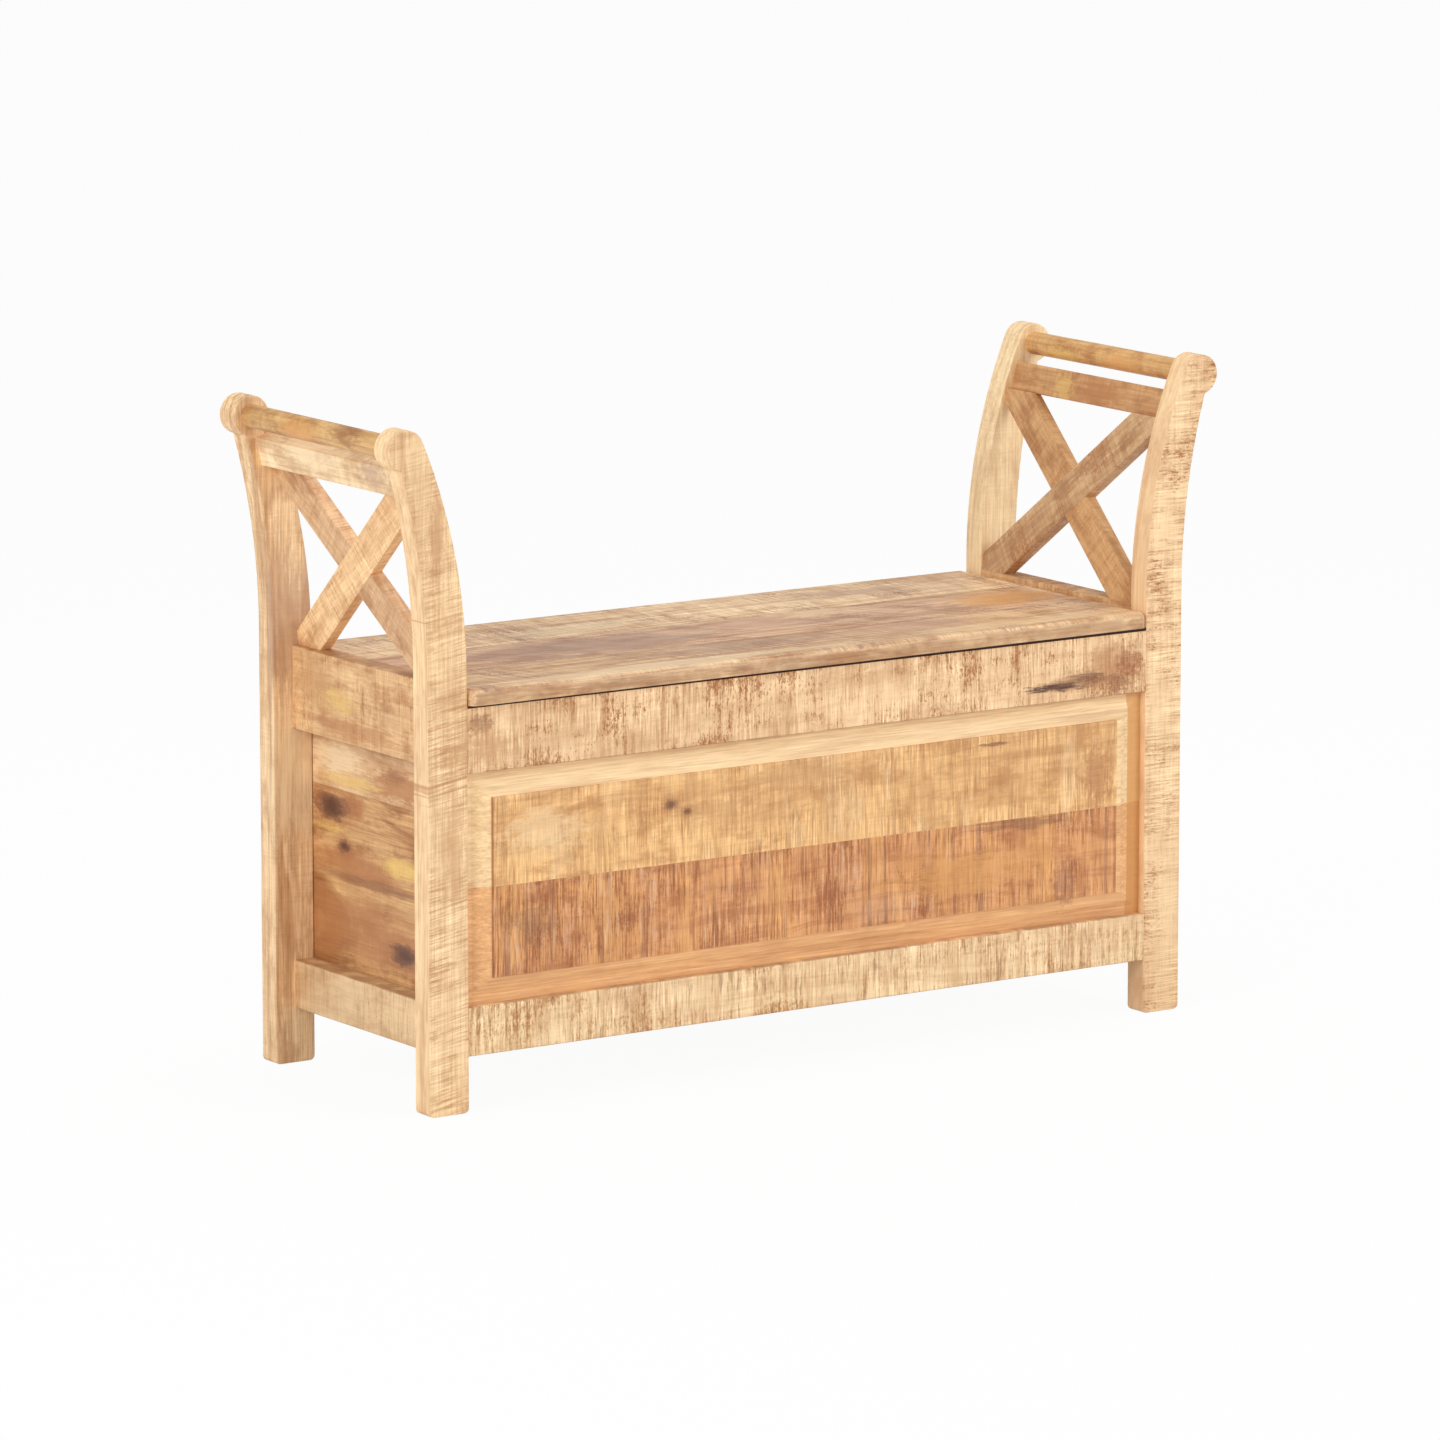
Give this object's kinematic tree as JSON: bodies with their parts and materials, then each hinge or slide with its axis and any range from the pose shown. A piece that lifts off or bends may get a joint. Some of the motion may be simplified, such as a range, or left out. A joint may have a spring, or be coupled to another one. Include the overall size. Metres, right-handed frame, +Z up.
{
  "type": "settle bench",
  "caption": "Wooden storage bench with a hinged seat over a panelled box, between open armrest ends with scrolled posts and crossed braces.",
  "frame": {"origin": "on the floor, under the middle of the bench's outer box", "axes": "+X along the bench towards its right end, the front faces -Y, +Z up"},
  "size_m": [1.1, 0.356, 0.75],
  "materials": {
    "sawn_wood": "rough sawn, light honey mango wood with dark flecks",
    "smooth_wood": "planed and waxed, honey brown",
    "seat_wood": "waxed, pinkish brown with saw marks",
    "panel_wood": "waxed, orange brown with cross saw marks",
    "end_wood": "waxed, brown with knots",
    "inner_wood": "raw, pale",
    "hinge_steel": "yellowed zinc plate",
    "steel_pin": "bright",
    "zinc_screw": "zinc plate"
  },
  "bodies": {
    "bench": {"armrest_rail_left": "smooth_wood", "armrest_rail_right": "smooth_wood", "back_lower_rail": "sawn_wood", "back_panel_lower": "inner_wood", "back_panel_upper": "inner_wood", "back_upper_rail": "sawn_wood", "brace_falling_left": "smooth_wood", "brace_falling_right": "smooth_wood", "brace_rising_left": "smooth_wood", "brace_rising_right": "smooth_wood", "cross_rail_left": "smooth_wood", "cross_rail_right": "smooth_wood", "end_wall_left_lower": "end_wood", "end_wall_left_upper": "end_wood", "end_wall_right_lower": "end_wood", "end_wall_right_upper": "end_wood", "end_wall_screws": "zinc_screw", "floor_bearer_left": "inner_wood", "floor_bearer_middle": "inner_wood", "floor_bearer_right": "inner_wood", "floor_board_back": "inner_wood", "floor_board_front": "inner_wood", "floor_board_middle": "inner_wood", "floor_screws": "zinc_screw", "front_lower_rail": "sawn_wood", "front_panel_lower": "panel_wood", "front_panel_upper": "panel_wood", "front_upper_rail": "sawn_wood", "hinge_frame_leaf_left": "hinge_steel", "hinge_frame_leaf_right": "hinge_steel", "hinge_frame_screws": "zinc_screw", "hinge_pin_left": "steel_pin", "hinge_pin_right": "steel_pin", "post_front_left": "sawn_wood", "post_front_right": "sawn_wood", "post_rear_left": "sawn_wood", "post_rear_right": "sawn_wood", "side_apron_left": "sawn_wood", "side_apron_right": "sawn_wood", "side_rail_left": "sawn_wood", "side_rail_right": "sawn_wood"},
    "seat": {"batten_screws": "zinc_screw", "hinge_lid_leaf_left": "hinge_steel", "hinge_lid_leaf_right": "hinge_steel", "hinge_lid_screws": "zinc_screw", "seat_batten_left": "inner_wood", "seat_batten_right": "inner_wood", "seat_board_front": "seat_wood", "seat_board_middle": "seat_wood", "seat_board_rear": "seat_wood"}
  },
  "joints": [
    {"name": "seat_hinge", "type": "hinge", "parent": "bench", "child": "seat", "pos_m": [0, 0.16755, 0.44445], "axis": [-1, 0, 0], "range_deg": [0, 105]}
  ]
}
